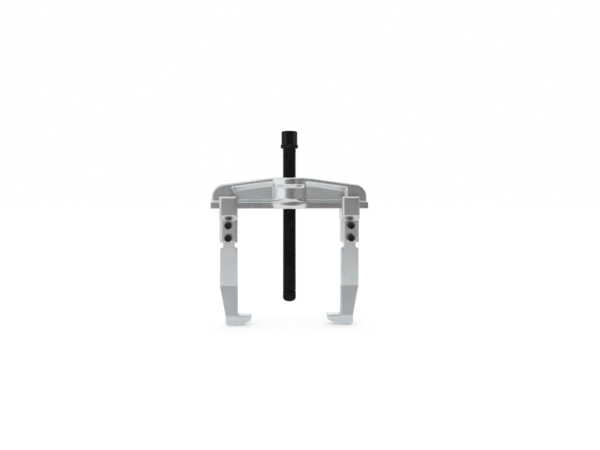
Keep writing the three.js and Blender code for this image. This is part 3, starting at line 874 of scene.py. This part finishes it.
def screw_surface():
    """A socket head screw about Z, its head's underside at 0 and its shank below: the socket's
    floor and walls, the head with a knurled side, and a shank with a thread of rings."""
    angles = hexagon_angles()
    socket_flats, head, height, length = 5.0, 5.0, 6.0, 33.2
    knurls, knurl_depth = 36, 0.16
    plain_length, ring_depth = 12.0, 0.28
    socket = hexagon_radius(angles, socket_flats, 0.05)
    knurl = head - knurl_depth * (0.5 + 0.5 * np.cos(angles * knurls))
    ones = np.ones(len(angles))
    rows = [
        (0 * ones, height - 3.6), (socket * 0.5, height - 3.3), (socket, height - 3.0),
        (socket, height - 0.4), (socket + 0.35, height), (4.25 * ones, height),
        (4.6 * ones, height - 0.1), (4.85 * ones, height - 0.35), (4.9 * ones, height - 0.7),
        (knurl, height - 1.0), (knurl, height - 2.7), (knurl, 1.0), (4.9 * ones, 0.7),
        (4.9 * ones, 0.2), (4.7 * ones, 0.0), (3.3 * ones, 0.0), (3.0 * ones, -0.3),
    ]
    shank = -np.arange(1.0, length - 0.6, 0.125)
    radius = SCREW_RADIUS - 0.3 - ring_depth * np.cos(shank * 2 * math.pi)
    radius = np.where(shank > -plain_length, SCREW_RADIUS, radius)
    rows += [(r * ones, z) for r, z in zip(radius, shank)]
    rows += [(2.3 * ones, -length), (0 * ones, -length)]
    radii = np.stack([r for r, _ in rows])
    heights = np.array([z for _, z in rows])[:, None]
    points, quads = turned_surface(radii, heights, angles)
    edge = np.where((heights > 0.5) & (heights < height - 0.3) & (radii > 4.8), 0.6, 0.0)
    edge = np.where((heights > height - 0.5) & (radii > 4.5), 0.9, edge)
    return points, quads, edge.ravel()


def nut_surface():
    """A hexagon nut about Z from 0 to its height, chamfered outside at both ends and in its hole."""
    angles = hexagon_angles()
    flats, height = 10.0, 5.0
    side = hexagon_radius(angles, flats, 0.08)
    levels = np.array([0, 0.2, 0.45, 0.8, 1.3, 2.5, 3.7, 4.2, 4.55, 4.8, 5.0])[:, None]
    cone = flats / 2 - 0.1 + np.minimum(levels, height - levels) * 1.7
    hole = SCREW_RADIUS + GAP
    inside = profile_rows([(hole + 0.5, height), (hole, height - 0.5), (hole, 0.5), (hole + 0.5, 0)], angles)
    radii = np.concatenate([np.minimum(side, cone), inside[0]])
    heights = np.concatenate([levels * np.ones(len(angles)), inside[1]])
    points, quads = turned_surface(radii, heights, angles, ring=True)
    edge = np.zeros_like(radii)
    edge[: len(levels)] = np.where(side > flats / 2 * 1.1, 0.9, 0.0)
    return points, quads, edge.ravel()


def washer_surface():
    """A spring washer: a small rounded square carried round one turn that climbs slightly."""
    start, count = 0.12, 72
    angles = np.linspace(start, 2 * math.pi - start, count)
    centre, half_width, half_height, middle = 4.45, 1.15, 0.7, 0.75
    around = np.radians([20, 45, 70, 110, 135, 160, 200, 225, 250, 290, 315, 340])
    squareness, rise = 0.35, 0.1
    across = half_width * np.sign(np.cos(around)) * np.abs(np.cos(around)) ** squareness
    up = half_height * np.sign(np.sin(around)) * np.abs(np.sin(around)) ** squareness
    climb = rise * (angles - math.pi) / math.pi
    end = np.zeros((1, len(around)))
    radii = centre + np.concatenate([end, np.tile(across, (count, 1)), end])
    heights = middle + np.concatenate([end, np.tile(up, (count, 1)), end])
    turn = np.concatenate([angles[:1], angles, angles[-1:]])[:, None]
    lift = np.concatenate([climb[:1], climb, climb[-1:]])[:, None]
    points, quads = turned_surface(radii, heights + lift, turn)
    return points, quads, np.full(len(points), 0.25)


def build_fasteners():
    """Each screw runs front to back; its washer and nut are behind the rear cheek."""
    screw, nut, washer = screw_surface(), nut_surface(), washer_surface()
    to_front = np.array([[1, 0, 0], [0, 0, 1], [0, -1, 0]], float)
    to_back = np.array([[1, 0, 0], [0, 0, -1], [0, 1, 0]], float)
    head_height = 6.0
    screw_depth = box_mm("right_upper_screw")[0][1] + head_height
    washer_depth = box_mm("right_upper_washer")[0][1]
    nut_depth = box_mm("right_upper_nut")[0][1]
    parts = [
        ("screw", screw, to_front, screw_depth, "black_fastener", FASTENER_BLACK),
        ("washer", washer, to_back, washer_depth, "spring_steel", SPRING_BLACK),
        ("nut", nut, to_back, nut_depth, "black_fastener", FASTENER_BLACK),
    ]
    for arm, side in (("left", -1), ("right", 1)):
        for level, height in SCREW_HEIGHTS.items():
            for kind, (points, quads, edge), turn, depth, slot, material in parts:
                node = f"{arm}_{level}_{kind}"
                placed = points @ turn + (side * ARM_CENTRE, depth, height)
                faces = outward(placed, quads)
                make_piece(f"{node}_m6", placed, faces, f"{arm}_arm", node, material, edge)


def finish_hidden_parts():
    """The ball and the snap ring keep their CAD shapes, inside the spindle's bore."""
    for node, material in (("thrust_ball", BALL_STEEL), ("tip_snap_ring", SPRING_BLACK)):
        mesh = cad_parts[node].data
        mesh.materials.clear()
        mesh.materials.append(material)


# --- studio -----------------------------------------------------------------------------------


def stage_mesh(name, points, quads, material):
    """A mesh of the studio, which is no part of the object."""
    mesh = bpy.data.meshes.new(name)
    mesh.from_pydata([tuple(p) for p in points], [], [tuple(int(i) for i in q) for q in quads])
    mesh.materials.append(material)
    piece = bpy.data.objects.new(name, mesh)
    bpy.context.scene.collection.objects.link(piece)
    return piece


def build_floor():
    """A white floor that glows a little, so that it runs into the white air without an edge."""
    reach = 8.0
    corners = [(-reach, -reach, 0), (reach, -reach, 0), (reach, reach, 0), (-reach, reach, 0)]
    material, _, shader = new_material("studio_floor")
    shader.inputs["Base Color"].default_value = (0.85, 0.85, 0.85, 1)
    shader.inputs["Roughness"].default_value = 0.9
    shader.inputs["Specular IOR Level"].default_value = 0.0
    shader.inputs["Emission Color"].default_value = (1, 1, 1, 1)
    shader.inputs["Emission Strength"].default_value = 0.2
    stage_mesh("studio_floor", corners, [(0, 1, 2, 3)], material)


def build_dark_card():
    """A dark card that only reflections see. It stands on the floor in front of the object and
    bends round to its right. Each row is (x, y, height, brightness), in metres."""
    plan = np.array([
        (-0.98, -1.16, 0.50, 0.85),
        (-0.86, -1.15, 0.50, 0.42),
        (-0.20, -1.00, 0.50, 0.30),
        (0.00, -0.93, 0.62, 0.25),
        (0.08, -0.90, 1.30, 0.24),
        (0.20, -0.86, 1.50, 0.23),
        (0.55, -0.66, 1.50, 0.20),
        (0.68, -0.55, 1.50, 0.42),
        (0.84, -0.34, 1.50, 0.46),
        (0.92, -0.20, 1.50, 0.26),
        (1.00, 0.10, 1.50, 0.34),
        (1.03, 0.21, 1.50, 0.62),
    ])
    material, tree, shader = new_material("dark_card")
    shade = tree.nodes.new("ShaderNodeAttribute")
    shade.attribute_name = "shade"
    shader.inputs["Base Color"].default_value = (0, 0, 0, 1)
    shader.inputs["Specular IOR Level"].default_value = 0.0
    tone = mix_color(tree, 1.0, shade.outputs["Fac"], (1.0, 0.96, 0.97, 1.0), "MULTIPLY")
    link(tree, tone, shader.inputs["Emission Color"])
    shader.inputs["Emission Strength"].default_value = 1.0
    points = [(x, y, height * share) for share in (0, 1) for x, y, height, _ in plan]
    count = len(plan)
    quads = [(i, i + 1, count + i + 1, count + i) for i in range(count - 1)]
    card = stage_mesh("dark_card", points, quads, material)
    card.data.attributes.new("shade", "FLOAT", "POINT").data.foreach_set("value", np.tile(plan[:, 3], 2))
    card.visible_camera = False
    card.visible_diffuse = False
    card.visible_shadow = False


def soft_light(name, place, target, width, height, energy):
    """A white rectangular lamp that faces a target and that the camera doesn't see. Its energy is
    in watts."""
    light = bpy.data.lights.new(name, "AREA")
    light.shape = "RECTANGLE"
    light.size, light.size_y = width, height
    light.energy = energy
    lamp = bpy.data.objects.new(name, light)
    bpy.context.scene.collection.objects.link(lamp)
    lamp.location = place
    lamp.rotation_mode = "QUATERNION"
    lamp.rotation_quaternion = (Vector(target) - Vector(place)).to_track_quat("-Z", "Y")
    lamp.visible_camera = False


def build_lights():
    """White air all round, with a softbox at the left and one overhead."""
    world = bpy.data.worlds.new("studio_air")
    world.use_nodes = True
    world.node_tree.nodes["Background"].inputs["Color"].default_value = (1, 1, 1, 1)
    world.node_tree.nodes["Background"].inputs["Strength"].default_value = 1.0
    bpy.context.scene.world = world
    soft_light("left_softbox", (-1.5, -0.6, 0.7), (0, 0, 0.15), 1.3, 1.5, 1.5)
    soft_light("top_softbox", (0, -0.1, 1.9), (0, 0, 0.1), 2.2, 2.0, 1.5)


def build_camera():
    """A level camera at beam height, a little to the left, looking at the spindle's axis. The
    shift puts the object left of and above the middle of the frame."""
    distance, height, turn = 0.75, 0.1795, math.radians(-2.5)
    data = bpy.data.cameras.new("camera")
    data.sensor_width = 36.0
    data.lens = 32.85
    data.shift_x = 0.0177
    data.shift_y = -0.0533
    camera = bpy.data.objects.new("camera", data)
    bpy.context.scene.collection.objects.link(camera)
    camera.location = (distance * math.sin(turn), -distance * math.cos(turn), height)
    camera.rotation_euler = (math.pi / 2, 0, turn)
    bpy.context.scene.camera = camera


bpy.context.scene.view_settings.view_transform = "Standard"
build_camera()
build_lights()
build_floor()
build_dark_card()
build_crossbeam()
build_spindle()
build_thrust_tip()
build_cheeks()
build_hooks()
build_fasteners()
finish_hidden_parts()
